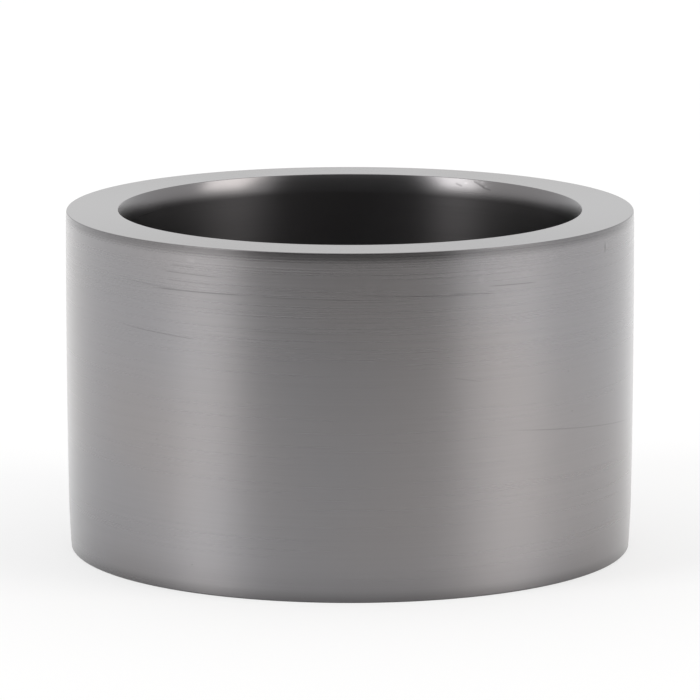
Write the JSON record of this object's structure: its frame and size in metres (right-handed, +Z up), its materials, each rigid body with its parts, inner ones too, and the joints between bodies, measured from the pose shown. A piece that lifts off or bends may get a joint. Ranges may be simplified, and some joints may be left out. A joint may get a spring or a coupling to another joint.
{
  "type": "foundry crucible",
  "caption": "Thick-walled round crucible with a straight flat-bottomed cavity, a flat ground rim and a slightly barrelled outer wall, for melting and pouring small charges.",
  "frame": {"origin": "centre of the flat base, on the surface that the crucible stands on", "axes": "+Z up along the turning axis and out of the cavity's mouth; X and Y are any two directions across the base, with -Y towards the viewer of the picture"},
  "size_m": [0.1, 0.1, 0.06],
  "materials": {
    "crucible": "turned and polished dense graphite, dark grey with a metallic sheen and fine lathe lines round the wall"
  },
  "bodies": {
    "root": {"crucible": "crucible"}
  },
  "joints": []
}
